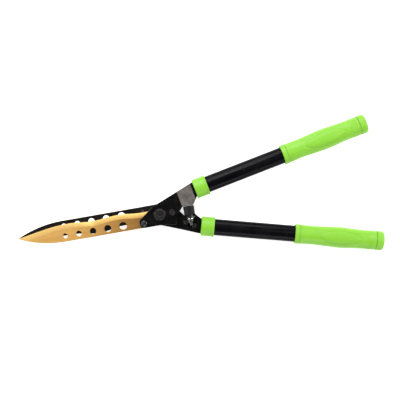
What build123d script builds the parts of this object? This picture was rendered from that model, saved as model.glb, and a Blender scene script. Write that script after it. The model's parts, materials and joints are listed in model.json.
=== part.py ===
from build123d import *
from math import cos, sin, radians, pi
import os

os.makedirs("parts", exist_ok=True)

# Two-handed grass shears, lying flat and closed: blades towards -X, handles towards +X.
# The origin is the centre of the pivot bolt's end face, which rests on the ground, with Z along the pivot.
# The two halves are one design turned over about X: the front half faces +Z and the rear half faces -Z.

# Blades
blade_reach = 229.0  # pivot centre to point
blade_thickness = 3.0
blade_gap = 0.2  # between the two ground inner faces
spine_offset = 16.8  # back of the blade from the centre line
spine_straight = 155.0  # straight back, measured from the pivot
point_slope = (0.99, 0.15)  # direction of the cutting edge at the point
edge_pitch = 79.0  # length of one wave of the cutting edge
edge_waves = 1.5
edge_points = 12  # points that the waves are drawn through
# Each edge's waves: first station from the pivot, mean height over the centre line, rise at that station.
front_wave = (147.0, 9.2, 1.4)
rear_wave = (139.5, 10.2, -2.6)
edge_heel = 8.0  # the ground edge runs on level to here, under the plate
bevel_width = 7.4
bevel_land = 0.8  # thickness left at the cutting edge
tang_half_width = 12.5
tang_round = 8.5  # tang metal round the rivet

# Lightening holes in each blade, the largest nearest the pivot
hole_count = 5
hole_first = 61.0
hole_diameter = 12.2
hole_step = 1.0  # each hole is this much smaller than the last
hole_web = 13.0  # metal between neighbouring holes
hole_inset = 9.0  # hole centres from the back

# Pressed plates that carry the blades
plate_thickness = 3.5
plate_margin = 0.1  # plate stands this far outside the blade's back
plate_shoulder = (-9.6, 14.2)
plate_end = 12.6  # height of the plate's short end
notch_radius = 30.6  # heel arc about the pivot
notch_drop = 1.0
heel_x = 23.5
heel_drop = 3.4
heel_round = 4.0
stop_start = 37.4
stop_finish = 54.6
stop_round = 2.0
joggle_start = 37.0  # both bends are measured along the handle from the pivot
joggle_end = 62.0
bend_radius = 6.0
strip_inset = 1.1  # strip narrower than the tube that it meets, on each side
strip_lead = 1.0  # parallel sides start this far before the collar
tongue_width = 14.0
tongue_length = 30.0  # past the middle of the collar

# Screws and rivets that hold each blade on its plate
screw_x = -27.2
screw_inset = 7.1  # from the blade's back
screw_shank = 5.0
screw_head = 9.0
screw_head_height = 2.6
screw_socket = 3.0
screw_socket_depth = 1.4
boss_radius = 7.2
rivet_x = 19.4
rivet_shank = 5.0
rivet_head = 9.6
rivet_head_height = 1.8
shank_clearance = 0.05
flush_clearance = 0.1  # fasteners stop this far short of the blades' inner faces

# Pivot
pivot_diameter = 10.0
pivot_clearance = 0.05  # running fit, on the radius
pivot_head = 17.6
pivot_head_height = 3.6
pivot_head_round = 2.0
pivot_socket = 7.0
pivot_socket_depth = 2.4
head_gap = 0.1  # between the washer and the turning front plate
washer_diameter = 20.0
washer_thickness = 1.0
spring_diameter = 19.0
spring_thickness = 1.3
pivot_nut_width = 16.0
pivot_nut_height = 6.5
pivot_tail = 0.1  # bolt end stands proud of the nut
nut_bevel = 0.6

# Handles, with distances along each handle from the middle of its collar
root_x = 71.4
root_y = 32.1
front_splay = 11.4  # handle to centre line, degrees
rear_splay = 14.6
tube_width = 26.2
tube_depth = 20.4
tube_wall = 1.5
tube_start = -7.5
tube_fit = 0.1
insert_length = 40.0
pin_diameter = 4.0
pin_inset = 0.3  # pin ends inside the tube's faces
collar_length = 21.0
collar_wall = 2.3
collar_round = 1.2
grip_start = 139.6
grip_length = 131.0
cap_length = 13.0
cap_wall = (2.4, 3.1)  # cap beyond the tube's width and depth, on each side
cap_round = 5.0
cap_plug = 15.0
grip_walls = [  # share of the grip's length, wall over the tube's width, wall over its depth
    (0.0, 2.2, 2.9),
    (0.07, 2.35, 3.0),
    (0.23, 1.8, 2.5),
    (0.54, 3.6, 4.1),
    (0.80, 2.1, 2.9),
    (1.0, 2.0, 2.8),
]

# Rubber stop between the plates, on a stud along Y
bumper_x = 46.4
bumper_seat = -7.8  # end of the rubber at the jam nut
bumper_length = 13.6
bumper_diameter = 17.8
bumper_crease = 1.4
bumper_clearance = 0.2
stud_height = 7.3  # above the plane between the blades
stud_diameter = 5.0
stud_end = -25.0
stud_embed = 9.0
stud_disc = 11.0
stud_disc_thickness = 1.5
stud_nut_width = 8.0
jam_height = 3.5
lock_height = 5.2
stud_washer = 10.0
stud_washer_thickness = 1.2
bracket_thickness = 2.5
bracket_round = 7.0
bracket_root = 1.0  # the upright starts this far inside the foot
bracket_foot = [(34.8, -24.0), (42.0, -31.2), (55.6, -31.2)]
bracket_left = 34.8
bracket_right = 55.6
bracket_rivet_places = [(38.9, -19.2), (51.2, -26.8)]
bracket_rivet_shank = 4.0
bracket_rivet_head = 7.6
bracket_rivet_height = 1.4

# Heights from the plane between the blades, on each half's own outward side
blade_inner = blade_gap / 2
blade_outer = blade_inner + blade_thickness
plate_outer = blade_outer + plate_thickness
mid_height = plate_outer + spring_thickness + pivot_nut_height + pivot_tail

# Places that follow from the sizes above
screw_place = (screw_x, -spine_offset + screw_inset)
rivet_place = (rivet_x, 0)
front_stop = bumper_seat + bumper_length + bumper_clearance
rear_stop = -bumper_seat + bumper_clearance
cap_start = grip_start + grip_length
collar_start = -collar_length / 2
strip_width = tube_width - 2 * strip_inset
strip_finish = tube_start - flush_clearance
bracket_face = bumper_seat - jam_height
bracket_back = bracket_face - bracket_thickness

# Each half is drawn in its own frame: x along the shears, y towards its own handle, z outwards.
front_half = Plane(origin=(0, 0, mid_height), x_dir=(1, 0, 0), z_dir=(0, 0, 1))
rear_half = Plane(origin=(0, 0, mid_height), x_dir=(1, 0, 0), z_dir=(0, 0, -1))


def direction(half, x, y, z):
    return half.from_local_coords(Vector(x, y, z)) - half.origin


def handle_run(splay):
    return Vector(cos(radians(splay)), sin(radians(splay)), 0)


def on_handle(splay, along, aside):
    # Point in a half's plan, along the handle and aside from its centre line.
    run = handle_run(splay)
    return (root_x + run.X * along - run.Y * aside, root_y + run.Y * along + run.X * aside)


def across_handle(half, splay, along):
    # Plane square to the handle: x across it, y outwards.
    run = handle_run(splay)
    return Plane(
        origin=half.from_local_coords(Vector(*on_handle(splay, along, 0))),
        x_dir=direction(half, -run.Y, run.X, 0),
        z_dir=direction(half, run.X, run.Y, 0),
    )


def beside_handle(half, splay):
    # Plane through the pivot: x along the handle, y outwards.
    run = handle_run(splay)
    return Plane(
        origin=half.origin,
        x_dir=direction(half, run.X, run.Y, 0),
        z_dir=direction(half, run.Y, -run.X, 0),
    )


def ellipse_ring(width, depth, wall):
    Ellipse(width / 2, depth / 2)
    Ellipse(width / 2 - wall, depth / 2 - wall, mode=Mode.SUBTRACT)


def finish(piece, name):
    piece.part.label = name
    export_step(piece.part, f"parts/{name}.step")


def wave_points(first, mean, rise):
    points = []
    for i in range(edge_points + 1):
        phase = edge_waves * i / edge_points
        points.append((phase * edge_pitch - first, mean + rise * cos(2 * pi * phase)))
    return points + [(-edge_heel, points[-1][1])]


def make_blade(name, half, wave):
    with BuildPart() as blade:
        with BuildSketch(half.offset(blade_inner)):
            with BuildLine():
                tip = (-blade_reach, 0)
                back = Line((-edge_heel, -spine_offset), (-spine_straight, -spine_offset))
                TangentArc(back @ 1, tip, tangent=back % 1)
                edge = wave_points(*wave)
                Spline(tip, edge[0], tangents=(point_slope, (1, 0)))
                Spline(edge, tangents=((1, 0), (1, 0)))
                Line(edge[-1], back @ 0)
            make_face()
        extrude(amount=blade_thickness)
        # The bevel is on the outer face only, from the point to the heel.
        outer = blade.faces().sort_by(Axis(half.origin, half.z_dir))[-1]
        ground = outer.edges().filter_by(GeomType.BSPLINE)
        chamfer(ground, bevel_width, blade_thickness - bevel_land, reference=outer)
        # The tang, all of it under the plate.
        with BuildSketch(half.offset(blade_inner)):
            with BuildLine():
                Polyline(
                    (-edge_heel, -spine_offset),
                    (-edge_heel, tang_half_width),
                    (rivet_x - tang_round, tang_half_width),
                    (rivet_x + tang_round, tang_round / 2),
                    (rivet_x + tang_round, -tang_round / 2),
                    (rivet_x - tang_round, -tang_half_width),
                    (0, -spine_offset),
                    close=True,
                )
            make_face()
        extrude(amount=blade_thickness)
        with BuildSketch(half.offset(blade_inner)):
            place = -hole_first
            for i in range(hole_count):
                size = hole_diameter - hole_step * i
                with Locations((place, -spine_offset + hole_inset)):
                    Circle(size / 2)
                place -= size - hole_step / 2 + hole_web
            Circle(pivot_diameter / 2 + pivot_clearance)
            with Locations(screw_place):
                Circle(screw_shank / 2 + shank_clearance)
            with Locations(rivet_place):
                Circle(rivet_shank / 2 + shank_clearance)
        extrude(amount=blade_thickness, mode=Mode.SUBTRACT)
    finish(blade, f"{name}_blade")


def make_plate(name, half, splay, stop, rivets):
    run = handle_run(splay)
    tongue_end = root_x * run.X + root_y * run.Y + tongue_length
    bottom = -spine_offset - plate_margin
    left = screw_x - boss_radius
    notch = (notch_radius, -notch_drop)
    heel = (heel_x, bottom - heel_drop)
    with BuildPart() as plate:
        # Side view: flat on the blade, then a slope to the handle's own middle height.
        with BuildSketch(beside_handle(half, splay)) as side:
            with BuildLine():
                Polyline(
                    (-blade_reach / 2, blade_outer),
                    (joggle_start, blade_outer),
                    (joggle_end, -plate_thickness / 2),
                    (tongue_end, -plate_thickness / 2),
                    (tongue_end, plate_thickness / 2),
                    (joggle_end, plate_thickness / 2),
                    (joggle_start, plate_outer),
                    (-blade_reach / 2, plate_outer),
                    close=True,
                )
            make_face()
            fillet(side.vertices().filter_by_position(Axis.X, joggle_start, joggle_end), bend_radius)
        extrude(amount=blade_reach / 2, both=True)
        # Plan outline, right through that side view.
        with BuildSketch(half.offset(-plate_outer)) as outline:
            with BuildLine():
                Polyline(
                    plate_shoulder,
                    (left, bottom + plate_end),
                    (left, bottom),
                    (0, bottom),
                    heel,
                )
                RadiusArc(heel, notch, notch_radius)
                Polyline(
                    notch,
                    (stop_start, stop),
                    (stop_finish, stop),
                    on_handle(splay, collar_start - strip_lead, -strip_width / 2),
                    on_handle(splay, strip_finish, -strip_width / 2),
                    on_handle(splay, strip_finish, -tongue_width / 2),
                    on_handle(splay, tongue_length, -tongue_width / 2),
                    on_handle(splay, tongue_length, tongue_width / 2),
                    on_handle(splay, strip_finish, tongue_width / 2),
                    on_handle(splay, strip_finish, strip_width / 2),
                    on_handle(splay, collar_start - strip_lead, strip_width / 2),
                    plate_shoulder,
                )
            make_face()
            corners = outline.vertices()
            fillet(corners.filter_by_position(Axis.X, left, left), boss_radius)
            fillet(corners.filter_by_position(Axis.X, heel_x, heel_x), heel_round)
            fillet(corners.filter_by_position(Axis.X, stop_start, stop_finish), stop_round)
        extrude(amount=2 * plate_outer, mode=Mode.INTERSECT)
        with BuildSketch(half.offset(-plate_outer)):
            Circle(pivot_diameter / 2 + pivot_clearance)
            with Locations(screw_place):
                Circle(screw_shank / 2 + shank_clearance)
            with Locations(rivet_place):
                Circle(rivet_shank / 2 + shank_clearance)
            with Locations((root_x, root_y)):
                Circle(pin_diameter / 2 + shank_clearance)
        extrude(amount=2 * plate_outer, mode=Mode.SUBTRACT)
        if rivets:
            with BuildSketch(ramp):
                with Locations([on_ramp(x, y) for x, y in rivets]):
                    Circle(bracket_rivet_shank / 2 + shank_clearance)
            extrude(amount=-2 * plate_thickness, mode=Mode.SUBTRACT)
    finish(plate, f"{name}_plate")


def make_blade_screw(name, half):
    with BuildPart() as screw:
        with BuildSketch(half.offset(blade_inner + flush_clearance)):
            with Locations(screw_place):
                Circle(screw_shank / 2)
        extrude(amount=blade_thickness + plate_thickness - flush_clearance)
        with BuildSketch(half.offset(plate_outer)):
            with Locations(screw_place):
                Circle(screw_head / 2)
        extrude(amount=screw_head_height)
        crown = screw.faces().sort_by(Axis(half.origin, half.z_dir))[-1]
        fillet(crown.edges(), screw_head_height / 2)
        with BuildSketch(half.offset(plate_outer + screw_head_height)):
            with Locations(screw_place):
                RegularPolygon(screw_socket / 2, 6, major_radius=False)
        extrude(amount=-screw_socket_depth, mode=Mode.SUBTRACT)
    finish(screw, f"{name}_blade_screw")


def make_tang_rivet(name, half):
    with BuildPart() as rivet:
        with BuildSketch(half.offset(blade_inner + flush_clearance)):
            with Locations(rivet_place):
                Circle(rivet_shank / 2)
        extrude(amount=blade_thickness + plate_thickness - flush_clearance)
        with BuildSketch(half.offset(plate_outer)):
            with Locations(rivet_place):
                Circle(rivet_head / 2)
        extrude(amount=rivet_head_height)
        crown = rivet.faces().sort_by(Axis(half.origin, half.z_dir))[-1]
        fillet(crown.edges(), rivet_head_height / 2)
    finish(rivet, f"{name}_tang_rivet")


def make_tube(name, half, splay):
    with BuildPart() as tube:
        with BuildSketch(across_handle(half, splay, tube_start)):
            ellipse_ring(tube_width, tube_depth, tube_wall)
        extrude(amount=cap_start - flush_clearance - tube_start)
        with BuildSketch(half.offset(-tube_depth)):
            with Locations((root_x, root_y)):
                Circle(pin_diameter / 2 + shank_clearance)
        extrude(amount=2 * tube_depth, mode=Mode.SUBTRACT)
    finish(tube, f"{name}_handle_tube")


def make_insert(name, half, splay):
    with BuildPart() as insert:
        with BuildSketch(across_handle(half, splay, tube_start)):
            Ellipse(tube_width / 2 - tube_wall - tube_fit, tube_depth / 2 - tube_wall - tube_fit)
            Rectangle(tongue_width + 2 * tube_fit, plate_thickness + 2 * tube_fit, mode=Mode.SUBTRACT)
        extrude(amount=insert_length)
        with BuildSketch(half.offset(-tube_depth)):
            with Locations((root_x, root_y)):
                Circle(pin_diameter / 2 + shank_clearance)
        extrude(amount=2 * tube_depth, mode=Mode.SUBTRACT)
    finish(insert, f"{name}_tube_insert")


def make_pin(name, half):
    reach = tube_depth / 2 - pin_inset
    with BuildPart() as pin:
        with BuildSketch(half.offset(-reach)):
            with Locations((root_x, root_y)):
                Circle(pin_diameter / 2)
        extrude(amount=2 * reach)
    finish(pin, f"{name}_cross_pin")


def make_collar(name, half, splay):
    bore_width = tube_width + 2 * tube_fit
    bore_depth = tube_depth + 2 * tube_fit
    with BuildPart() as collar:
        with BuildSketch(across_handle(half, splay, collar_start)):
            Ellipse(bore_width / 2 + collar_wall, bore_depth / 2 + collar_wall)
        extrude(amount=collar_length)
        fillet(collar.edges(), collar_round)
        with BuildSketch(across_handle(half, splay, strip_finish)):
            Ellipse(bore_width / 2, bore_depth / 2)
        extrude(amount=collar_length, mode=Mode.SUBTRACT)
        with BuildSketch(across_handle(half, splay, collar_start)):
            Rectangle(strip_width + 2 * tube_fit, plate_thickness + 2 * tube_fit)
        extrude(amount=collar_length / 2, mode=Mode.SUBTRACT)
    finish(collar, f"{name}_collar")


def make_grip(name, half, splay):
    with BuildPart() as grip:
        for share, side_wall, face_wall in grip_walls:
            with BuildSketch(across_handle(half, splay, grip_start + grip_length * share)):
                Ellipse(tube_width / 2 + side_wall, tube_depth / 2 + face_wall)
        loft()
        with BuildSketch(across_handle(half, splay, grip_start)):
            Ellipse(tube_width / 2 + tube_fit, tube_depth / 2 + tube_fit)
        extrude(amount=grip_length, mode=Mode.SUBTRACT)
    finish(grip, f"{name}_grip")


def make_end_cap(name, half, splay):
    with BuildPart() as cap:
        with BuildSketch(across_handle(half, splay, cap_start)) as rim:
            Ellipse(tube_width / 2 + cap_wall[0], tube_depth / 2 + cap_wall[1])
        extrude(amount=cap_length)
        end = cap.faces().sort_by(Axis((0, 0, 0), rim.workplanes[0].z_dir))[-1]
        fillet(end.edges(), cap_round)
        with BuildSketch(across_handle(half, splay, cap_start)):
            Ellipse(tube_width / 2 - tube_wall - tube_fit, tube_depth / 2 - tube_wall - tube_fit)
        extrude(amount=-cap_plug)
    finish(cap, f"{name}_end_cap")


# The foot of the bumper's bracket lies on the sloping part of the rear plate, which faces the front.
rear_run = handle_run(rear_splay)
rear_side = direction(rear_half, -rear_run.Y, rear_run.X, 0)
rear_view = beside_handle(rear_half, rear_splay)
ramp_start = rear_view.from_local_coords(Vector(joggle_start, blade_outer, 0))
ramp_end = rear_view.from_local_coords(Vector(joggle_end, -plate_thickness / 2, 0))
ramp_run = ramp_end - ramp_start
ramp = Plane(origin=ramp_start, x_dir=ramp_run, z_dir=rear_side.cross(ramp_run))


def on_ramp(x, y):
    # Point of the ramp above (x, y) in the row's own plan, in the ramp's coordinates.
    along = x * rear_run.X - y * rear_run.Y - joggle_start
    return (along * ramp_run.length / (joggle_end - joggle_start), x * rear_run.Y + y * rear_run.X)


def above_mid(x, y):
    # Height of the ramp above the plane between the blades.
    along = x * rear_run.X - y * rear_run.Y - joggle_start
    return -blade_outer + along * (blade_outer + plate_thickness / 2) / (joggle_end - joggle_start)


def along_stud(y):
    # Plane square to the stud, x along the shears and y downwards.
    return Plane(origin=(bumper_x, y, mid_height + stud_height), x_dir=(1, 0, 0), z_dir=(0, 1, 0))


for name, half, wave, splay, stop, rivets in (
    ("front", front_half, front_wave, front_splay, front_stop, []),
    ("rear", rear_half, rear_wave, rear_splay, rear_stop, bracket_rivet_places),
):
    make_blade(name, half, wave)
    make_plate(name, half, splay, stop, rivets)
    make_blade_screw(name, half)
    make_tang_rivet(name, half)
    make_tube(name, half, splay)
    make_insert(name, half, splay)
    make_pin(name, half)
    make_collar(name, half, splay)
    make_grip(name, half, splay)
    make_end_cap(name, half, splay)

# Pivot, from the head on the front to the nut behind
washer_base = plate_outer + head_gap
head_base = washer_base + washer_thickness

with BuildPart() as pivot_bolt:
    with BuildSketch(front_half.offset(head_base)):
        Circle(pivot_head / 2)
    extrude(amount=pivot_head_height)
    fillet(pivot_bolt.edges().group_by(Axis.Z)[-1], pivot_head_round)
    with BuildSketch(front_half.offset(head_base + pivot_head_height)):
        RegularPolygon(pivot_socket / 2, 6, major_radius=False)
    extrude(amount=-pivot_socket_depth, mode=Mode.SUBTRACT)
    with BuildSketch(Plane.XY):
        Circle(pivot_diameter / 2)
    extrude(amount=mid_height + head_base)
finish(pivot_bolt, "pivot_bolt")

with BuildPart() as pivot_washer:
    with BuildSketch(front_half.offset(washer_base)):
        Circle(washer_diameter / 2)
        Circle(pivot_diameter / 2 + pivot_clearance, mode=Mode.SUBTRACT)
    extrude(amount=washer_thickness)
finish(pivot_washer, "pivot_washer")

with BuildPart() as disc_spring:
    with BuildSketch(rear_half.offset(plate_outer)):
        Circle(spring_diameter / 2)
        Circle(pivot_diameter / 2 + pivot_clearance, mode=Mode.SUBTRACT)
    extrude(amount=spring_thickness)
finish(disc_spring, "disc_spring")

with BuildPart() as pivot_nut:
    with BuildSketch(rear_half.offset(plate_outer + spring_thickness)):
        RegularPolygon(pivot_nut_width / 2, 6, major_radius=False)
    extrude(amount=pivot_nut_height)
    chamfer(pivot_nut.edges().group_by(Axis.Z)[0], nut_bevel)
    with BuildSketch(rear_half.offset(plate_outer + spring_thickness)):
        Circle(pivot_diameter / 2 + shank_clearance)
    extrude(amount=pivot_nut_height, mode=Mode.SUBTRACT)
finish(pivot_nut, "pivot_nut")

# Rubber stop
with BuildPart() as bumper:
    with BuildSketch(along_stud(bumper_seat)):
        Circle(bumper_diameter / 2)
        with Locations((0, bumper_diameter / 2), (0, -bumper_diameter / 2)):
            Circle(bumper_crease, mode=Mode.SUBTRACT)
    extrude(amount=bumper_length)
    with BuildSketch(along_stud(bumper_seat)):
        Circle(stud_diameter / 2 + shank_clearance)
    extrude(amount=stud_embed, mode=Mode.SUBTRACT)
    with BuildSketch(along_stud(bumper_seat + stud_embed - stud_disc_thickness)):
        Circle(stud_disc / 2 + shank_clearance)
    extrude(amount=stud_disc_thickness, mode=Mode.SUBTRACT)
finish(bumper, "bumper")

with BuildPart() as bumper_stud:
    with BuildSketch(along_stud(bumper_seat + stud_embed - stud_disc_thickness)):
        Circle(stud_disc / 2)
    extrude(amount=stud_disc_thickness)
    with BuildSketch(along_stud(stud_end)):
        Circle(stud_diameter / 2)
    extrude(amount=bumper_seat + stud_embed - stud_end)
finish(bumper_stud, "bumper_stud")

with BuildPart() as jam_nut:
    with BuildSketch(along_stud(bracket_face)):
        RegularPolygon(stud_nut_width / 2, 6, major_radius=False)
        Circle(stud_diameter / 2 + shank_clearance, mode=Mode.SUBTRACT)
    extrude(amount=jam_height)
finish(jam_nut, "bumper_jam_nut")

with BuildPart() as bumper_washer:
    with BuildSketch(along_stud(bracket_back)):
        Circle(stud_washer / 2)
        Circle(stud_diameter / 2 + shank_clearance, mode=Mode.SUBTRACT)
    extrude(amount=-stud_washer_thickness)
finish(bumper_washer, "bumper_washer")

with BuildPart() as lock_nut:
    with BuildSketch(along_stud(bracket_back - stud_washer_thickness)):
        RegularPolygon(stud_nut_width / 2, 6, major_radius=False)
        Circle(stud_diameter / 2 + shank_clearance, mode=Mode.SUBTRACT)
    extrude(amount=-lock_height)
finish(lock_nut, "bumper_lock_nut")

with BuildPart() as bracket:
    with BuildSketch(ramp):
        with BuildLine():
            foot = [(bracket_left, bracket_face)] + bracket_foot + [(bracket_right, bracket_face)]
            Polyline([on_ramp(x, y) for x, y in foot], close=True)
        make_face()
    extrude(amount=bracket_thickness)
    with BuildSketch(along_stud(bracket_back)):
        Circle(bracket_round)
        with BuildLine():
            low_left = stud_height - above_mid(bracket_left, bracket_back) - bracket_root
            low_right = stud_height - above_mid(bracket_right, bracket_back) - bracket_root
            Polyline(
                (bracket_left - bumper_x, low_left),
                (bracket_right - bumper_x, low_right),
                (bracket_round, 0),
                (-bracket_round, 0),
                close=True,
            )
        make_face()
    extrude(amount=bracket_thickness)
    with BuildSketch(along_stud(bracket_back)):
        Circle(stud_diameter / 2 + shank_clearance)
    extrude(amount=bracket_thickness, mode=Mode.SUBTRACT)
    with BuildSketch(ramp):
        with Locations([on_ramp(x, y) for x, y in bracket_rivet_places]):
            Circle(bracket_rivet_shank / 2 + shank_clearance)
    extrude(amount=bracket_thickness, mode=Mode.SUBTRACT)
finish(bracket, "bumper_bracket")

with BuildPart() as bracket_rivets:
    with BuildSketch(ramp.offset(bracket_thickness)):
        with Locations([on_ramp(x, y) for x, y in bracket_rivet_places]):
            Circle(bracket_rivet_head / 2)
    extrude(amount=bracket_rivet_height)
    with BuildSketch(ramp.offset(bracket_thickness)):
        with Locations([on_ramp(x, y) for x, y in bracket_rivet_places]):
            Circle(bracket_rivet_shank / 2)
    extrude(amount=-bracket_thickness - plate_thickness)
finish(bracket_rivets, "bracket_rivets")
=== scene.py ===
import json
import math

import bmesh
import bpy
from mathutils import Matrix, Vector


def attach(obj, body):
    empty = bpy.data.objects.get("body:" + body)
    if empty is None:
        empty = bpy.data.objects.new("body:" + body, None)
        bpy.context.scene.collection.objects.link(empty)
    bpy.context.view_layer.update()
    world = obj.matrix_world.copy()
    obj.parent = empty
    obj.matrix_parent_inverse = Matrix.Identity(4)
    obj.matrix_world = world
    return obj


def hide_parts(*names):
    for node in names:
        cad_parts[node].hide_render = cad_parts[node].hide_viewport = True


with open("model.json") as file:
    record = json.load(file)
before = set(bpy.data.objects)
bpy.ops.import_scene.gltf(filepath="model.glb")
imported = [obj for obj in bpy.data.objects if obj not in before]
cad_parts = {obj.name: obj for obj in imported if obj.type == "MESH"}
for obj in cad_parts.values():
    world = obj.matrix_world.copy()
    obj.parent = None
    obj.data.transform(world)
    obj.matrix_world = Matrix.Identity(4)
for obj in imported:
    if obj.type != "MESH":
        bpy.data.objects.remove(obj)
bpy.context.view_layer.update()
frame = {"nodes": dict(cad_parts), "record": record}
print("frame loaded:", len(frame["nodes"]), "nodes")

mm = 0.001
hands = {m["name"]: m for m in frame["record"]["mounts"] if m["kind"] == "other"}

# Both halves are one design. Out is the way along Z that a half's own face looks.
halves = {"front": {"body": "front_half", "out": 1}, "rear": {"body": "rear_half", "out": -1}}

# Stations along a handle, in mm from the middle of its collar
handle = {"handMount": 210.31, "gripStart": 139.6, "gripLength": 131, "capLength": 13}


# Helpers that add nodes to a tree

def feed(tree, socket, value):
    if isinstance(value, bpy.types.NodeSocket):
        tree.links.new(value, socket)
    else:
        socket.default_value = value


def addNode(tree, kind, values=None, **settings):
    node = tree.nodes.new(kind)
    for key, value in settings.items():
        setattr(node, key, value)
    for key, value in (values or {}).items():
        feed(tree, node.inputs[key], value)
    return node


def mathNode(tree, operation, *values, clamp=False):
    node = addNode(tree, "ShaderNodeMath", dict(enumerate(values)), operation=operation, use_clamp=clamp)
    return node.outputs[0]


def rangeNode(tree, value, start, end=(0.0, 1.0)):
    limits = {"Value": value, "From Min": start[0], "From Max": start[1], "To Min": end[0], "To Max": end[1]}
    return addNode(tree, "ShaderNodeMapRange", limits, interpolation_type="SMOOTHSTEP").outputs["Result"]


def noise(tree, place, scale, detail, roughness=0.5):
    values = {"Vector": place, "Scale": scale, "Detail": detail, "Roughness": roughness}
    return addNode(tree, "ShaderNodeTexNoise", values).outputs["Fac"]


def blendColours(tree, factor, first, second):
    # The mix node's input 0 is the factor, and 6 and 7 are its two colours
    values = {0: factor}
    for key, colour in ((6, first), (7, second)):
        values[key] = colour if isinstance(colour, bpy.types.NodeSocket) else (*colour, 1)
    return addNode(tree, "ShaderNodeMix", values, data_type="RGBA").outputs[2]


# Node groups that several finishes share

def newGroup(name, inputs, outputs):
    tree = bpy.data.node_groups.new(name, "ShaderNodeTree")
    for label, kind in inputs.items():
        tree.interface.new_socket(label, in_out="INPUT", socket_type="NodeSocket" + kind)
    for label in outputs:
        tree.interface.new_socket(label, in_out="OUTPUT", socket_type="NodeSocketFloat")
    return tree, tree.nodes.new("NodeGroupInput").outputs, tree.nodes.new("NodeGroupOutput").inputs


def makeGrainGroup():
    # Two sizes of noise: the small one for the surface, the large one for uneven gloss and colour
    tree, given, out = newGroup(
        "surfaceGrain", {"Vector": "Vector", "Fine": "Float", "Broad": "Float"}, ["Height", "Mottle"])
    fine = noise(tree, given["Vector"], given["Fine"], detail=3.0, roughness=0.55)
    broad = noise(tree, given["Vector"], given["Broad"], detail=4.0, roughness=0.6)
    tree.links.new(fine, out["Height"])
    tree.links.new(rangeNode(tree, broad, start=(0.3, 0.7)), out["Mottle"])
    return tree


def makeBrushGroup():
    # Long scratches: noise squeezed along one direction
    tree, given, out = newGroup(
        "grindingMarks", {"Vector": "Vector", "Stretch": "Vector"}, ["Height", "Streaks"])
    places = {0: given["Vector"], 1: given["Stretch"]}
    squeezed = addNode(tree, "ShaderNodeVectorMath", places, operation="MULTIPLY").outputs[0]
    close = noise(tree, squeezed, 1.0, detail=5.0, roughness=0.7)
    wide = noise(tree, squeezed, 0.16, detail=3.0, roughness=0.6)
    tree.links.new(close, out["Height"])
    halfClose = mathNode(tree, "MULTIPLY", close, 0.5)
    halfWide = mathNode(tree, "MULTIPLY", wide, 0.5)
    mixed = mathNode(tree, "ADD", halfClose, halfWide)
    tree.links.new(rangeNode(tree, mixed, start=(0.36, 0.64)), out["Streaks"])
    return tree


def makeWearGroup():
    # Edges that rub, and on the plates a painted highlight along the lit cut edge: where the rounded normal
    # leaves the true one, broken up by noise
    tree, given, out = newGroup(
        "edgeWearAndHighlight", {"Vector": "Vector", "Radius": "Float", "Breakup": "Float"}, ["Mask"])
    rounded = addNode(tree, "ShaderNodeBevel", {"Radius": given["Radius"]}, samples=6)
    true = addNode(tree, "ShaderNodeNewGeometry")
    normals = {0: rounded.outputs["Normal"], 1: true.outputs["Normal"]}
    likeness = addNode(tree, "ShaderNodeVectorMath", normals, operation="DOT_PRODUCT").outputs["Value"]
    leaving = rangeNode(tree, likeness, start=(0.995, 0.93))
    patch = noise(tree, given["Vector"], given["Breakup"], detail=3.0)
    patchy = rangeNode(tree, patch, start=(0.40, 0.62), end=(0.15, 1.0))
    tree.links.new(mathNode(tree, "MULTIPLY", leaving, patchy, clamp=True), out["Mask"])
    return tree


def makeCavityGroup():
    # Grooves and creases, where the surface shades itself
    tree, given, out = newGroup("cavityShade", {"Distance": "Float"}, ["Mask"])
    shaded = addNode(tree, "ShaderNodeAmbientOcclusion", {"Distance": given["Distance"]}, samples=8)
    tree.links.new(rangeNode(tree, shaded.outputs["AO"], start=(0.96, 0.55)), out["Mask"])
    return tree


groups = {"grain": makeGrainGroup(), "brush": makeBrushGroup(), "wear": makeWearGroup(),
          "creaseShade": makeCavityGroup()}


def useGroup(tree, which, values):
    return addNode(tree, "ShaderNodeGroup", values, node_tree=groups[which]).outputs


# Finishes. A gloss pair is how far roughness starts under its value, and how much the pattern adds.
# A bump pair is strength and distance in metres.


def startFinish(name, values):
    finish = bpy.data.materials.new(name)
    finish.use_nodes = True
    tree = finish.node_tree
    shader = tree.nodes["Principled BSDF"]
    for key, value in values.items():
        shader.inputs[key].default_value = value
    return finish, tree, shader, addNode(tree, "ShaderNodeTexCoord").outputs["Object"]


def useGrain(tree, place, look):
    return useGroup(tree, "grain", {"Vector": place, "Fine": look["fine"], "Broad": look["broad"]})


def useWear(tree, place, look):
    values = {"Vector": place, "Radius": look["wearRadius"], "Breakup": look["breakup"]}
    return mathNode(tree, "MULTIPLY", useGroup(tree, "wear", values)["Mask"], look["wear"])


def bumpOn(tree, shader, look, height):
    strength, distance = look["bump"]
    bump = addNode(tree, "ShaderNodeBump", {"Strength": strength, "Distance": distance, "Height": height})
    tree.links.new(bump.outputs["Normal"], shader.inputs["Normal"])


def finishSurface(tree, shader, look, colour, pattern, height):
    start, added = look["gloss"]
    gloss = mathNode(tree, "ADD", look["roughness"] - start, mathNode(tree, "MULTIPLY", pattern, added))
    tree.links.new(colour, shader.inputs["Base Color"])
    tree.links.new(gloss, shader.inputs["Roughness"])
    bumpOn(tree, shader, look, height)


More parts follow.
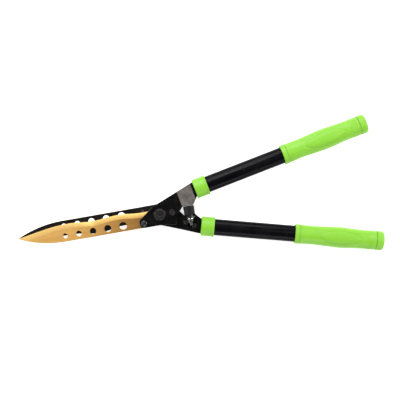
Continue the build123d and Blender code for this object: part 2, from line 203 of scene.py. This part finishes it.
goldBase = {
    "metallic": 0.45, "specular": 0.5, "fine": 2200.0, "broad": 45.0, "streaks": 0.22, "mottle": 0.16,
    "gloss": (0.07, 0.14), "bump": (0.25, 0.00004),
}
goldLook = {
    **goldBase, "tip": (0.62, 0.350, 0.088), "heel": (0.27, 0.125, 0.022), "streak": (0.80, 0.50, 0.16),
    "shade": (0.36, 0.17, 0.03), "fade": (-0.150, -0.035), "stretch": (60, 2600, 400), "roughness": 0.50,
}
# Painted highlight: the bevel's gold is lighter than the flat's, as where the bevel faces the key lamp
bevelHighlightLook = {
    **goldBase, "tip": (0.66, 0.42, 0.125), "heel": (0.70, 0.42, 0.105), "streak": (0.95, 0.70, 0.30),
    "shade": (0.45, 0.24, 0.06), "fade": (-0.200, -0.040), "stretch": (2400, 120, 400), "roughness": 0.45,
}


def goldFinish(name, look):
    # Ground gold coat that goes from the tip's colour to the heel's along the blade
    finish, tree, shader, place = startFinish(
        name, {"Metallic": look["metallic"], "Specular IOR Level": look["specular"]})
    apart = addNode(tree, "ShaderNodeSeparateXYZ", {"Vector": place})
    towardsHeel = rangeNode(tree, apart.outputs["X"], look["fade"])
    marks = useGroup(tree, "brush", {"Vector": place, "Stretch": look["stretch"]})
    grain = useGrain(tree, place, look)
    ground = blendColours(tree, towardsHeel, look["tip"], look["heel"])
    streaks = mathNode(tree, "MULTIPLY", marks["Streaks"], look["streaks"])
    streaked = blendColours(tree, streaks, ground, look["streak"])
    mottled = mathNode(tree, "MULTIPLY", grain["Mottle"], look["mottle"])
    colour = blendColours(tree, mottled, streaked, look["shade"])
    finishSurface(tree, shader, look, colour, marks["Streaks"], marks["Height"])
    return finish


# Over the span's stretch of X, worn edges grow from plain to gain times as bare: on the plates a painted
# highlight along the lit cut edge, partly bare metal.
paintBase = {"edgeHighlightSpan": (-0.004, -0.009), "edgeHighlightGain": 1.0, "breakup": 260.0, "gloss": (0.05, 0.10)}
paintLooks = {
    "plate": {
        **paintBase, "dark": (0.0016, 0.0016, 0.0018), "pale": (0.0036, 0.0034, 0.0034),
        "bareAndHighlight": (0.36, 0.33, 0.30), "roughness": 0.20, "specular": 0.42, "fine": 2600.0, "broad": 120.0,
        # Painted highlight: the high gain and the bright bare colour draw the plate's lit cut edge
        "bump": (0.05, 0.00008), "wear": 0.10, "edgeHighlightGain": 9.0, "wearRadius": 0.0010,
    },
    "tube": {
        **paintBase, "dark": (0.0018, 0.0018, 0.0030), "pale": (0.0036, 0.0036, 0.0050),
        "bareAndHighlight": (0.05, 0.05, 0.055), "roughness": 0.25, "specular": 0.07, "fine": 900.0, "broad": 40.0,
        "bump": (0.02, 0.00008), "wear": 0.2, "wearRadius": 0.0004,
    },
    "head": {
        **paintBase, "dark": (0.006, 0.006, 0.0065), "pale": (0.013, 0.012, 0.012),
        "bareAndHighlight": (0.18, 0.17, 0.16), "roughness": 0.38, "specular": 0.35, "fine": 2400.0, "broad": 240.0,
        "bump": (0.12, 0.00008), "wear": 0.5, "wearRadius": 0.0006,
    },
    "innerFace": {
        **paintBase, "dark": (0.0022, 0.0018, 0.0022), "pale": (0.0050, 0.0042, 0.0042),
        "bareAndHighlight": (0.20, 0.14, 0.07), "roughness": 0.32, "specular": 0.4, "fine": 2400.0, "broad": 80.0,
        "bump": (0.1, 0.00008), "wear": 0.2, "wearRadius": 0.0003,
    },
    "insert": {
        **paintBase, "dark": (0.02, 0.02, 0.02), "pale": (0.04, 0.04, 0.04), "bareAndHighlight": (0.09, 0.09, 0.09),
        "roughness": 0.6, "specular": 0.4, "fine": 900.0, "broad": 90.0, "bump": (0.3, 0.00008),
        "wear": 0.2, "wearRadius": 0.0006,
    },
}


def blackSteelFinish(name, look):
    # Satin black coat, with bare metal where edges rub, and on the plates a painted highlight along the cut
    # edge
    finish, tree, shader, place = startFinish(
        name, {"Metallic": 0.0, "Specular IOR Level": look["specular"]})
    grain = useGrain(tree, place, look)
    apart = addNode(tree, "ShaderNodeSeparateXYZ", {"Vector": place})
    # Painted highlight on the plates: the edge mask is raised towards negative X, along the lit cut edge
    paintedEdgeHighlight = rangeNode(tree, apart.outputs["X"], look["edgeHighlightSpan"], end=(1.0, look["edgeHighlightGain"]))
    worn = mathNode(tree, "MULTIPLY", useWear(tree, place, look), paintedEdgeHighlight, clamp=True)
    coat = blendColours(tree, grain["Mottle"], look["dark"], look["pale"])
    colour = blendColours(tree, worn, coat, look["bareAndHighlight"])
    finishSurface(tree, shader, look, colour, grain["Mottle"], grain["Height"])
    return finish


steelBase = {"fine": 1800.0, "broad": 300.0, "gloss": (0.08, 0.16), "bump": (0.2, 0.00004)}
steelLooks = {
    "zinc": {**steelBase, "dark": (0.50, 0.50, 0.51), "pale": (0.72, 0.71, 0.69), "roughness": 0.28,
             "stretch": (300, 2200, 300)},
    "nut": {**steelBase, "dark": (0.13, 0.13, 0.135), "pale": (0.34, 0.34, 0.34), "roughness": 0.26,
            "stretch": (900, 500, 900)},
    "blued": {**steelBase, "dark": (0.07, 0.09, 0.11), "pale": (0.16, 0.18, 0.21), "roughness": 0.34,
              "stretch": (900, 900, 300)},
}


def brightSteelFinish(name, look):
    finish, tree, shader, place = startFinish(name, {"Metallic": 1.0})
    marks = useGroup(tree, "brush", {"Vector": place, "Stretch": look["stretch"]})
    grain = useGrain(tree, place, look)
    colour = blendColours(tree, grain["Mottle"], look["dark"], look["pale"])
    finishSurface(tree, shader, look, colour, marks["Streaks"], marks["Height"])
    return finish


# The darkest green is painted shade for grooves and creases
limeLook = {
    "body": (0.207, 0.510, 0.028), "pale": (0.31, 0.60, 0.075), "shade": (0.163, 0.440, 0.019),
    "creaseShade": (0.095, 0.290, 0.008), "roughness": 0.42, "fine": 1500.0, "broad": 38.0,
    "specular": 0.42, "soft": 0.12, "softRadius": (0.6, 1.0, 0.2), "softScale": 0.0025,
    "wearRadius": 0.0007, "breakup": 180.0, "wear": 0.5, "cavityDistance": 0.0022, "creaseShadeDepth": 0.85,
    "mottle": 0.35, "gloss": (0.05, 0.12), "bump": (0.16, 0.00012),
}


def limeFinish(name, look):
    # Soft moulded plastic with a fine spark-eroded texture, painted shade darkening its grooves and creases,
    # and paler rounded edges
    finish, tree, shader, place = startFinish(name, {
        "Metallic": 0.0, "Specular IOR Level": look["specular"], "Subsurface Weight": look["soft"],
        "Subsurface Radius": look["softRadius"], "Subsurface Scale": look["softScale"]})
    grain = useGrain(tree, place, look)
    # Painted shade: grooves, ribs and the thumb pad's line are darkened where the surface shades itself
    creaseShade = useGroup(tree, "creaseShade", {"Distance": look["cavityDistance"]})
    creaseShadeAmount = mathNode(tree, "MULTIPLY", creaseShade["Mask"], look["creaseShadeDepth"])
    body = blendColours(tree, creaseShadeAmount, look["body"], look["creaseShade"])
    mottled = mathNode(tree, "MULTIPLY", grain["Mottle"], look["mottle"])
    swirl = blendColours(tree, mottled, body, look["shade"])
    colour = blendColours(tree, useWear(tree, place, look), swirl, look["pale"])
    finishSurface(tree, shader, look, colour, grain["Mottle"], grain["Height"])
    return finish


# The crease colour is painted shade for the bumper's crease
rubberLook = {
    "dark": (0.005, 0.005, 0.0055), "dusty": (0.011, 0.011, 0.012), "crease": (0.0015, 0.0015, 0.0015),
    "worn": (0.10, 0.10, 0.10), "specular": 0.2, "fine": 1400.0, "broad": 140.0, "wearRadius": 0.0009,
    "breakup": 300.0, "wear": 0.4, "cavityDistance": 0.006, "roughness": (0.54, 0.70),
    "bump": (0.35, 0.00015),
}


def rubberFinish(name, look):
    # Dull rubber, dusty on its face, with painted shade in its crease and grey along its rim
    finish, tree, shader, place = startFinish(
        name, {"Metallic": 0.0, "Specular IOR Level": look["specular"]})
    grain = useGrain(tree, place, look)
    creaseShade = useGroup(tree, "creaseShade", {"Distance": look["cavityDistance"]})
    dusty = blendColours(tree, grain["Mottle"], look["dark"], look["dusty"])
    # Painted shade: the crease is darkened where the surface shades itself
    creaseShaded = blendColours(tree, creaseShade["Mask"], dusty, look["crease"])
    colour = blendColours(tree, useWear(tree, place, look), creaseShaded, look["worn"])
    tree.links.new(colour, shader.inputs["Base Color"])
    dull = rangeNode(tree, grain["Mottle"], start=(0.0, 1.0), end=look["roughness"])
    tree.links.new(dull, shader.inputs["Roughness"])
    bumpOn(tree, shader, look, grain["Height"])
    return finish


finishes = {
    "goldFlat": goldFinish("goldFlat", goldLook),
    "goldBevelHighlight": goldFinish("goldBevelHighlight", bevelHighlightLook),
    "lime": limeFinish("limeGrip", limeLook),
    "rubber": rubberFinish("blackRubber", rubberLook),
}
for label, look in paintLooks.items():
    finishes[label] = blackSteelFinish(label + "Coat", look)
for label, look in steelLooks.items():
    finishes[label] = brightSteelFinish(label + "Steel", look)
print("finishes made:", len(finishes))


# Making pieces

def placePiece(name, bm, body, nodes, coats, sharp=40):
    bmesh.ops.recalc_face_normals(bm, faces=bm.faces)
    mesh = bpy.data.meshes.new(name)
    bm.to_mesh(mesh)
    bm.free()
    for coat in coats:
        mesh.materials.append(finishes[coat])
    mesh.shade_smooth()
    mesh.set_sharp_from_angle(angle=math.radians(sharp))
    piece = bpy.data.objects.new(name, mesh)
    bpy.context.scene.collection.objects.link(piece)
    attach(piece, body)
    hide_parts(*nodes)
    return piece


def growRings(rings, segments, joinEnds=False):
    # Each ring is (along, half width, half depth), and the first circle is extruded from ring to ring
    bm = bmesh.new()
    verts = bmesh.ops.create_circle(bm, segments=segments, radius=1.0)["verts"]
    along, wide, deep = rings[0]
    bmesh.ops.scale(bm, vec=(wide, deep, 1), verts=verts)
    bmesh.ops.translate(bm, vec=(0, 0, along), verts=verts)
    edges = list(bm.edges)
    firstEdges = list(edges)
    for nextAlong, nextWide, nextDeep in rings[1:]:
        grown = bmesh.ops.extrude_edge_only(bm, edges=edges)["geom"]
        verts = [g for g in grown if isinstance(g, bmesh.types.BMVert)]
        chosen = set(verts)
        edges = [g for g in grown if isinstance(g, bmesh.types.BMEdge) and set(g.verts) <= chosen]
        bmesh.ops.scale(bm, vec=(nextWide / wide, nextDeep / deep, 1), verts=verts)
        bmesh.ops.translate(bm, vec=(0, 0, nextAlong - along), verts=verts)
        along, wide, deep = nextAlong, nextWide, nextDeep
    if joinEnds:
        bmesh.ops.bridge_loops(bm, edges=firstEdges + edges)
    else:
        bmesh.ops.contextual_create(bm, geom=firstEdges)
        bmesh.ops.contextual_create(bm, geom=edges)
    return bm


def handleFrame(side):
    # x along the handle, y aside, z out of the half's own face; the hand's mount marks a station on it
    mount = hands[side + "_hand"]
    along = Vector(mount["axis"])
    out = Vector((0, 0, halves[side]["out"]))
    aside = out.cross(along)
    origin = Vector(mount["pos_m"]) - along * handle["handMount"] * mm
    turned = Matrix((along, aside, out)).transposed().to_4x4()
    return Matrix.Translation(origin) @ turned


# A ring's own x, y and z become the handle's aside, out and along.
ringToHandle = Matrix(((0, 0, 1, 0), (1, 0, 0, 0), (0, 1, 0, 0), (0, 0, 0, 1)))


def toHandle(bm, side):
    placed = handleFrame(side) @ ringToHandle @ Matrix.Scale(mm, 4)
    bmesh.ops.transform(bm, matrix=placed, verts=bm.verts)


def smoothThrough(knots, at):
    # Smooth curve through (place, value) knots
    def slope(i):
        low, high = max(i - 1, 0), min(i + 1, len(knots) - 1)
        return (knots[high][1] - knots[low][1]) / (knots[high][0] - knots[low][0])

    i = 0
    while i < len(knots) - 2 and at > knots[i + 1][0]:
        i += 1
    (x0, v0), (x1, v1) = knots[i], knots[i + 1]
    span = x1 - x0
    t = min(max((at - x0) / span, 0), 1)
    bend0, bend1 = slope(i) * span, slope(i + 1) * span
    return ((2 * t**3 - 3 * t**2 + 1) * v0 + (t**3 - 2 * t**2 + t) * bend0
            + (3 * t**2 - 2 * t**3) * v1 + (t**3 - t**2) * bend1)


def hump(at, middle, half):
    away = abs(at - middle) / half
    return 0.5 + 0.5 * math.cos(math.pi * away) if away < 1 else 0.0


def ease(at, start, end):
    t = min(max((at - start) / (end - start), 0), 1)
    return t * t * (3 - 2 * t)


def roundOff(reach, size):
    # How far a corner of this size falls away, at a reach into it from 0 to 1
    return size * (1 - math.sqrt(max(0.0, 1 - reach * reach)))


# Grip: soft sleeve with a rim, a waist, a bulge for the palm, ribs at the end and a thumb pad on each
# face. Sections are (share of the length, width, depth), and rim lines are (place, depth).
grip = {
    "sections": [(0.0, 30.6, 26.2), (0.07, 30.9, 26.4), (0.23, 29.8, 25.4), (0.54, 33.4, 28.6),
                 (0.80, 30.4, 26.2), (1.0, 30.2, 26.0)],
    "bore": (26.4, 20.6), "boreTail": 0.2, "boreMouth": 0.4, "segments": 128, "mouthRound": 1.1,
    "rim": (6.6, 0.45), "rimRun": 1.0, "rimLines": [(3.6, 0.22), (7.6, 0.50), (12.2, 0.26)],
    "lineHalf": 0.9, "ribs": [118.4, 121.0, 123.6, 126.2], "ribHeight": 0.42, "ribHalf": 0.95,
    "endBand": (128.2, 0.15), "endRun": 0.8, "endRound": 0.9,
    "fineZones": [(0, 14), (116, 131)], "fineStep": 0.4, "padZone": (37, 107), "padStep": 0.9,
    "step": 2.0, "lastGap": 0.05,
}

# Thumb pad: raise, dish and groove are in mm, and the rest is in shares of the pad's own half sizes.
pad = {
    "middle": 72.0, "half": (32.0, 9.6), "raise": 0.45, "raiseEdge": (0.90, 1.0), "dish": 0.40,
    "dishEdge": 0.88, "groove": 0.55, "grooveAt": (1.05, 0.09), "reach": 1.3,
    "leastHeight": 5, "boreShare": 0.51,
}


def gripStations():
    at, stations = 0.0, []
    while at < handle["gripLength"] - grip["lastGap"]:
        stations.append(at)
        if any(low <= at < high for low, high in grip["fineZones"]):
            at += grip["fineStep"]
        elif grip["padZone"][0] <= at < grip["padZone"][1]:
            at += grip["padStep"]
        else:
            at += grip["step"]
    return stations + [float(handle["gripLength"])]


def gripRelief(at):
    # Height of the moulded lines above the plain sleeve
    rimEnd, rimHeight = grip["rim"]
    relief = rimHeight * (1 - ease(at, rimEnd, rimEnd + grip["rimRun"]))
    relief -= sum(depth * hump(at, place, grip["lineHalf"]) for place, depth in grip["rimLines"])
    relief += sum(grip["ribHeight"] * hump(at, rib, grip["ribHalf"]) for rib in grip["ribs"])
    bandStart, bandHeight = grip["endBand"]
    relief += bandHeight * ease(at, bandStart, bandStart + grip["endRun"])
    mouth = max(0.0, 1 - at / grip["mouthRound"])
    tail = max(0.0, 1 - (handle["gripLength"] - at) / grip["endRound"])
    relief -= roundOff(mouth, grip["mouthRound"])
    return relief - roundOff(tail, grip["endRound"])


def raiseThumbPads(bm):
    # One on each face of the grip
    halfLong, halfAcross = pad["half"]
    boreWide, boreDeep = grip["bore"]
    bm.normal_update()
    moves = []
    for v in bm.verts:
        if abs(v.co.y) < pad["leastHeight"]:
            continue  # sides of the grip
        if math.hypot(v.co.x / boreWide, v.co.y / boreDeep) < pad["boreShare"]:
            continue  # bore
        away = math.hypot((v.co.z - handle["gripStart"] - pad["middle"]) / halfLong, v.co.x / halfAcross)
        if away > pad["reach"]:
            continue
        height = pad["raise"] * (1 - ease(away, *pad["raiseEdge"]))
        height -= pad["dish"] * (1 - ease(away, 0.0, pad["dishEdge"]))
        height -= pad["groove"] * hump(away, *pad["grooveAt"])
        moves.append((v, v.normal * height))
    for v, move in moves:
        v.co += move


def makeGrip(side):
    length = handle["gripLength"]
    knotsWide = [(share * length, wide / 2) for share, wide, deep in grip["sections"]]
    knotsDeep = [(share * length, deep / 2) for share, wide, deep in grip["sections"]]
    start, end = handle["gripStart"], handle["gripStart"] + length
    rings = []
    for at in gripStations():
        relief = gripRelief(at)
        wide, deep = smoothThrough(knotsWide, at), smoothThrough(knotsDeep, at)
        rings.append((start + at, wide + relief, deep + relief))
    boreWide, boreDeep = grip["bore"][0] / 2, grip["bore"][1] / 2
    tail, mouth = grip["boreTail"], grip["boreMouth"]
    rings += [(end, boreWide + tail, boreDeep + tail), (end - tail, boreWide, boreDeep),
              (start + mouth, boreWide, boreDeep), (start, boreWide + mouth, boreDeep + mouth)]
    bm = growRings(rings, grip["segments"], joinEnds=True)
    bmesh.ops.recalc_face_normals(bm, faces=bm.faces)
    raiseThumbPads(bm)
    toHandle(bm, side)
    body = halves[side]["body"]
    placePiece(side + "Grip", bm, body, [side + "_grip"], ["lime"], sharp=60)


# End cap: rounded plug with a shallow ring in its face. The face goes inwards by (share of the cap's
# half width, level), where 1 is the bottom of the ring and -1 is the top of the crown.
cap = {
    "width": 31.0, "depth": 26.6, "gap": 0.25, "plugInset": 2.6, "edge": 0.8, "edgeSteps": 4,
    "swell": 0.12, "swellBack": 1.0, "dome": 5.0, "domeSteps": 10, "ringDepth": 0.35, "crown": 0.25,
    "face": [(0.53, -0.6), (0.50, 0.0), (0.48, 1.0), (0.45, 1.0), (0.43, 0.0), (0.38, -0.6),
             (0.2, -1.0), (0.02, -1.0)],
    "segments": 128,
}


def makeEndCap(side):
    start = handle["gripStart"] + handle["gripLength"] + cap["gap"]
    end = handle["gripStart"] + handle["gripLength"] + handle["capLength"]
    wide, deep = cap["width"] / 2, cap["depth"] / 2
    edge, dome, top = cap["edge"], cap["dome"], end - cap["crown"]
    rings = [(start, wide - cap["plugInset"], deep - cap["plugInset"])]
    for i in range(cap["edgeSteps"] + 1):
        turn = math.pi / 2 * i / cap["edgeSteps"]
        back = edge * (1 - math.sin(turn))
        rings.append((start + edge * (1 - math.cos(turn)), wide - back, deep - back))
    rings.append(((start + end) / 2 - cap["swellBack"], wide + cap["swell"], deep + cap["swell"]))
    for i in range(cap["domeSteps"] + 1):
        turn = math.pi / 2 * i / cap["domeSteps"]
        back = dome * (1 - math.cos(turn))
        rings.append((top - dome * (1 - math.sin(turn)), wide - back, deep - back))
    for share, level in cap["face"]:
        along = top - max(level, 0) * cap["ringDepth"] - min(level, 0) * cap["crown"]
        rings.append((along, wide * share, deep * share))
    bm = growRings(rings, cap["segments"])
    toHandle(bm, side)
    placePiece(side + "EndCap", bm, halves[side]["body"], [side + "_end_cap"], ["lime"], sharp=50)


# Handle tube: thin oval tube with broken edges
tube = {"width": 26.2, "depth": 20.4, "wall": 1.5, "start": -7.5, "end": 270.5, "edge": 0.3, "parts": 12,
        "segments": 96}


def makeTube(side):
    wide, deep, wall, edge = tube["width"] / 2, tube["depth"] / 2, tube["wall"], tube["edge"]
    start, end, parts = tube["start"], tube["end"], tube["parts"]
    rings = [(start, wide - edge, deep - edge), (start + edge, wide, deep)]
    rings += [(start + (end - start) * i / parts, wide, deep) for i in range(1, parts)]
    rings += [(end - edge, wide, deep), (end, wide - edge, deep - edge),
              (end, wide - wall + edge, deep - wall + edge), (end - edge, wide - wall, deep - wall),
              (start + edge, wide - wall, deep - wall), (start, wide - wall + edge, deep - wall + edge)]
    bm = growRings(rings, tube["segments"], joinEnds=True)
    toHandle(bm, side)
    placePiece(side + "HandleTube", bm, halves[side]["body"], [side + "_handle_tube"], ["tube"])


# A node's mesh is cleaned by joining doubled corners and clearing edges across flat faces.
cleaning = {"joinWithin": 0.000002, "flatDegrees": 0.4}


def mergedCopy(node):
    bm = bmesh.new()
    bm.from_mesh(frame["nodes"][node].data)
    bmesh.ops.remove_doubles(bm, verts=bm.verts, dist=cleaning["joinWithin"])
    flat = math.radians(cleaning["flatDegrees"])
    bmesh.ops.dissolve_limit(bm, angle_limit=flat, verts=bm.verts, edges=bm.edges)
    return bm


def roundEdges(piece, width, segments=3, angle=30):
    softEdges = piece.modifiers.new("softEdges", "BEVEL")
    softEdges.width = width * mm
    softEdges.segments = segments
    softEdges.limit_method = "ANGLE"
    softEdges.angle_limit = math.radians(angle)
    softEdges.use_clamp_overlap = True
    piece.modifiers.new("evenNormals", "WEIGHTED_NORMAL").keep_sharp = False


# Blades: gold outside, black on the ground inner face, with a bevel in a lighter gold as a painted
# highlight. The limits are how much of a face's normal points out.
blade = {"edge": 0.18, "innerBelow": -0.9, "flatAbove": 0.995, "bevelAbove": 0.8}


def makeBlade(side):
    bm = mergedCopy(side + "_blade")
    for face in bm.faces:
        facing = face.normal.z * halves[side]["out"]
        if facing < blade["innerBelow"]:
            face.material_index = 1
        elif blade["bevelAbove"] < facing < blade["flatAbove"]:
            face.material_index = 2
    piece = placePiece(side + "Blade", bm, halves[side]["body"], [side + "_blade"],
                       ["goldFlat", "innerFace", "goldBevelHighlight"], sharp=8)
    roundEdges(piece, blade["edge"], segments=2, angle=25)


# Collar: the solid's own shape with a lip raised round its tube end
collar = {"lip": 0.40, "lipStart": 6.3, "lipEnd": 7.3, "cuts": 6, "bore": (13.3, 10.4), "boreMargin": 1.02,
          "edge": 0.25}


def makeCollar(side):
    bm = mergedCopy(side + "_collar")
    place = handleFrame(side)
    bmesh.ops.transform(bm, matrix=place.inverted(), verts=bm.verts)
    for i in range(collar["cuts"]):
        at = collar["lipStart"] + (collar["lipEnd"] - collar["lipStart"]) * i / (collar["cuts"] - 1)
        bmesh.ops.bisect_plane(bm, geom=bm.verts[:] + bm.edges[:] + bm.faces[:], plane_co=(at * mm, 0, 0),
                               plane_no=(1, 0, 0))
    halfWide, halfDeep = collar["bore"]
    for v in bm.verts:
        if math.hypot(v.co.y / halfWide, v.co.z / halfDeep) < collar["boreMargin"] * mm:
            continue  # bore
        away = v.co.yz.length
        lift = collar["lip"] * mm * ease(v.co.x / mm, collar["lipStart"], collar["lipEnd"])
        v.co.y *= 1 + lift / away
        v.co.z *= 1 + lift / away
    bmesh.ops.transform(bm, matrix=place, verts=bm.verts)
    body = halves[side]["body"]
    piece = placePiece(side + "Collar", bm, body, [side + "_collar"], ["lime"], sharp=50)
    roundEdges(piece, collar["edge"])


# Rubber stop: two lobes with a crease between them, on a threaded stud along Y
stop = {"centre": (46.4, 21.8), "start": -7.8, "end": 5.8, "radius": 8.9, "round": 1.6, "roundSteps": 6,
        "sideSteps": 8, "faceRadius": 3.0, "crease": 0.36, "creaseHalf": 0.50, "waist": 0.25,
        "segments": 128}
stud = {"start": -25.0, "shoulder": -7.8, "disc": (-0.3, 1.2), "radius": 2.5, "root": 2.15, "pitch": 0.8,
        "tipRadius": 1.6, "tip": 0.3, "neck": 0.8, "discRadius": 5.5, "segments": 40}


def toStop(bm):
    # A ring's own x, y and z become X, Z and Y
    across, up = stop["centre"]
    turned = Matrix(((1, 0, 0, across), (0, 0, 1, 0), (0, 1, 0, up), (0, 0, 0, 1)))
    bmesh.ops.transform(bm, matrix=Matrix.Scale(mm, 4) @ turned, verts=bm.verts)


def makeBumper():
    start, end, radius, edge = stop["start"], stop["end"], stop["radius"], stop["round"]
    corners = [math.pi / 2 * i / stop["roundSteps"] for i in range(stop["roundSteps"] + 1)]
    rings = [(start, stop["faceRadius"], stop["faceRadius"])]
    for turn in corners:
        wide = radius - edge * (1 - math.sin(turn))
        rings.append((start + edge * (1 - math.cos(turn)), wide, wide))
    for i in range(1, stop["sideSteps"]):
        wide = radius - stop["waist"] * math.sin(math.pi * i / stop["sideSteps"])
        rings.append((start + edge + (end - start - 2 * edge) * i / stop["sideSteps"], wide, wide))
    for turn in corners:
        wide = radius - edge * (1 - math.cos(turn))
        rings.append((end - edge * (1 - math.sin(turn)), wide, wide))
    rings.append((end, stop["faceRadius"], stop["faceRadius"]))
    bm = growRings(rings, stop["segments"])
    for v in bm.verts:
        turn = abs(math.atan2(v.co.y, v.co.x))
        pinch = 1 - stop["crease"] * hump(turn, math.pi / 2, stop["creaseHalf"])
        v.co.x *= pinch
        v.co.y *= pinch
    toStop(bm)
    placePiece("bumper", bm, "rear_half", ["bumper"], ["rubber"], sharp=50)


def makeStud():
    start, shoulder, radius, root = stud["start"], stud["shoulder"], stud["radius"], stud["root"]
    discStart, discEnd = stud["disc"]
    rings = [(start, stud["tipRadius"], stud["tipRadius"])]
    at = start + stud["tip"]
    while at < shoulder:
        rings += [(at, root, root), (at + stud["pitch"] / 2, radius, radius)]
        at += stud["pitch"]
    for place, wide in ((shoulder + stud["neck"], radius), (discStart, radius),
                        (discStart, stud["discRadius"]), (discEnd, stud["discRadius"])):
        rings.append((place, wide, wide))
    bm = growRings(rings, stud["segments"])
    toStop(bm)
    placePiece("bumperStud", bm, "rear_half", ["bumper_stud"], ["nut"], sharp=30)


for side in halves:
    makeBlade(side)
    makeTube(side)
    makeGrip(side)
    makeEndCap(side)
    makeCollar(side)
makeBumper()
makeStud()
print("blades, tubes, grips, caps, collars and stop made")

# Pieces that keep their solid's shape and get rounded edges: name, body, slot, coat, edge in mm
softened = {
    "front_plate": ("frontPlate", "front_half", "plate", "plate", 0.45),
    "rear_plate": ("rearPlate", "rear_half", "plate", "plate", 0.45),
    "front_blade_screw": ("frontBladeScrew", "front_half", "screw", "blued", 0.12),
    "rear_blade_screw": ("rearBladeScrew", "rear_half", "screw", "blued", 0.12),
    "pivot_bolt": ("pivotBolt", "rear_half", "bolt", "head", 0.20),
    "pivot_nut": ("pivotNut", "rear_half", "bolt", "head", 0.25),
    "bumper_bracket": ("bumperBracket", "rear_half", "plate", "plate", 0.40),
    "bumper_jam_nut": ("bumperJamNut", "rear_half", "bolt", "head", 0.30),
    "bumper_lock_nut": ("bumperLockNut", "rear_half", "pin", "nut", 0.35),
    "pivot_washer": ("pivotWasher", "rear_half", "bolt", "plate", 0.30),
    "front_tang_rivet": ("frontTangRivet", "front_half", "rivet", "head", 0.25),
    "rear_tang_rivet": ("rearTangRivet", "rear_half", "rivet", "head", 0.25),
    "bracket_rivets": ("bracketRivets", "rear_half", "rivet", "head", 0.45),
}
for node, (name, body, slotName, coat, edge) in softened.items():
    roundEdges(placePiece(name, mergedCopy(node), body, [node], [coat]), edge)
print("plates and fasteners softened")

# Nodes whose own shape is right keep it and get a finish
kept = {
    "insert": ["front_tube_insert", "rear_tube_insert"],
    "zinc": ["front_cross_pin", "rear_cross_pin", "bumper_washer"],
    "head": ["disc_spring"],
}
for coat, nodes in kept.items():
    for node in nodes:
        data = frame["nodes"][node].data
        data.materials.clear()
        data.materials.append(finishes[coat])
print("carried-over nodes finished")


# Floor and world
stage = {"size": 16.0, "colour": (0.93, 0.93, 0.93), "roughness": 0.9, "specular": 0.1, "glow": 0.55,
         "world": 0.06}
floorMesh = bmesh.new()
bmesh.ops.create_grid(floorMesh, x_segments=1, y_segments=1, size=stage["size"] / 2)
floorData = bpy.data.meshes.new("floor")
floorMesh.to_mesh(floorData)
floorMesh.free()
floor = bpy.data.objects.new("floor", floorData)
bpy.context.scene.collection.objects.link(floor)
floorCoat = bpy.data.materials.new("paleFloor")
floorCoat.use_nodes = True
floorShader = floorCoat.node_tree.nodes["Principled BSDF"]
floorShader.inputs["Base Color"].default_value = (*stage["colour"], 1)
floorShader.inputs["Roughness"].default_value = stage["roughness"]
floorShader.inputs["Specular IOR Level"].default_value = stage["specular"]
floorShader.inputs["Emission Color"].default_value = (1, 1, 1, 1)
floorShader.inputs["Emission Strength"].default_value = stage["glow"]
floorData.materials.append(floorCoat)

world = bpy.data.worlds.new("studio")
world.use_nodes = True
world.node_tree.nodes["Background"].inputs["Color"].default_value = (1, 1, 1, 1)
world.node_tree.nodes["Background"].inputs["Strength"].default_value = stage["world"]
bpy.context.scene.world = world

# Places and sizes in metres
lampAim = Vector((0.06, 0.0, 0.0145))
lamps = {
    "farBox": {"from": (0.10, 1.60, 1.15), "size": (1.6, 0.8), "watts": 29},
    "leftBox": {"from": (-1.60, 0.20, 1.05), "size": (0.8, 1.2), "watts": 20},
    "nearBox": {"from": (0.10, -1.70, 0.95), "size": (1.6, 0.8), "watts": 18},
    "rightBox": {"from": (1.75, 0.10, 1.00), "size": (0.8, 1.2), "watts": 22},
    "rampBox": {"from": (0.68, 0.12, 1.40), "size": (0.34, 0.40), "watts": 3.0,
                "tint": (1.0, 0.90, 0.83)},
    "keyBox": {"from": (0.02, 0.88, 1.38), "size": (0.30, 0.16), "watts": 6.5},
}
for name, lamp in lamps.items():
    data = bpy.data.lights.new(name, "AREA")
    data.shape = "RECTANGLE"
    data.size, data.size_y = lamp["size"]
    data.energy = lamp["watts"]
    data.color = lamp.get("tint", (1.0, 1.0, 1.0))
    place = Vector(lamp["from"])
    lampObject = bpy.data.objects.new(name, data)
    lampObject.location = place
    lampObject.rotation_euler = (lampAim - place).to_track_quat("-Z", "Y").to_euler()
    bpy.context.scene.collection.objects.link(lampObject)

# The camera looks almost straight down, a little from the far side, and leans ten degrees
view = {"aim": (0.0665, 0.0117, 0.0145), "distance": 1.30, "tip": 1.5, "yaw": -1.20, "roll": 9.83,
        "lens": 73.35, "near": 0.01, "far": 20}
yaw, tip = math.radians(view["yaw"]), math.radians(view["tip"])
back = Vector((math.sin(yaw), math.sin(tip) * math.cos(yaw), math.cos(tip) * math.cos(yaw)))
right = Vector((0, 1, 0)).cross(back).normalized()
lean = Matrix.Rotation(-math.radians(view["roll"]), 3, "Z")
turned = Matrix((right, back.cross(right), back)).transposed() @ lean
cameraData = bpy.data.cameras.new("camera")
cameraData.lens = view["lens"]
cameraData.clip_start, cameraData.clip_end = view["near"], view["far"]
camera = bpy.data.objects.new("camera", cameraData)
camera.matrix_world = Matrix.Translation(Vector(view["aim"]) + back * view["distance"]) @ turned.to_4x4()
bpy.context.scene.collection.objects.link(camera)
bpy.context.scene.camera = camera
bpy.context.scene.view_settings.view_transform = "Standard"
print("stage, lamps and camera ready")
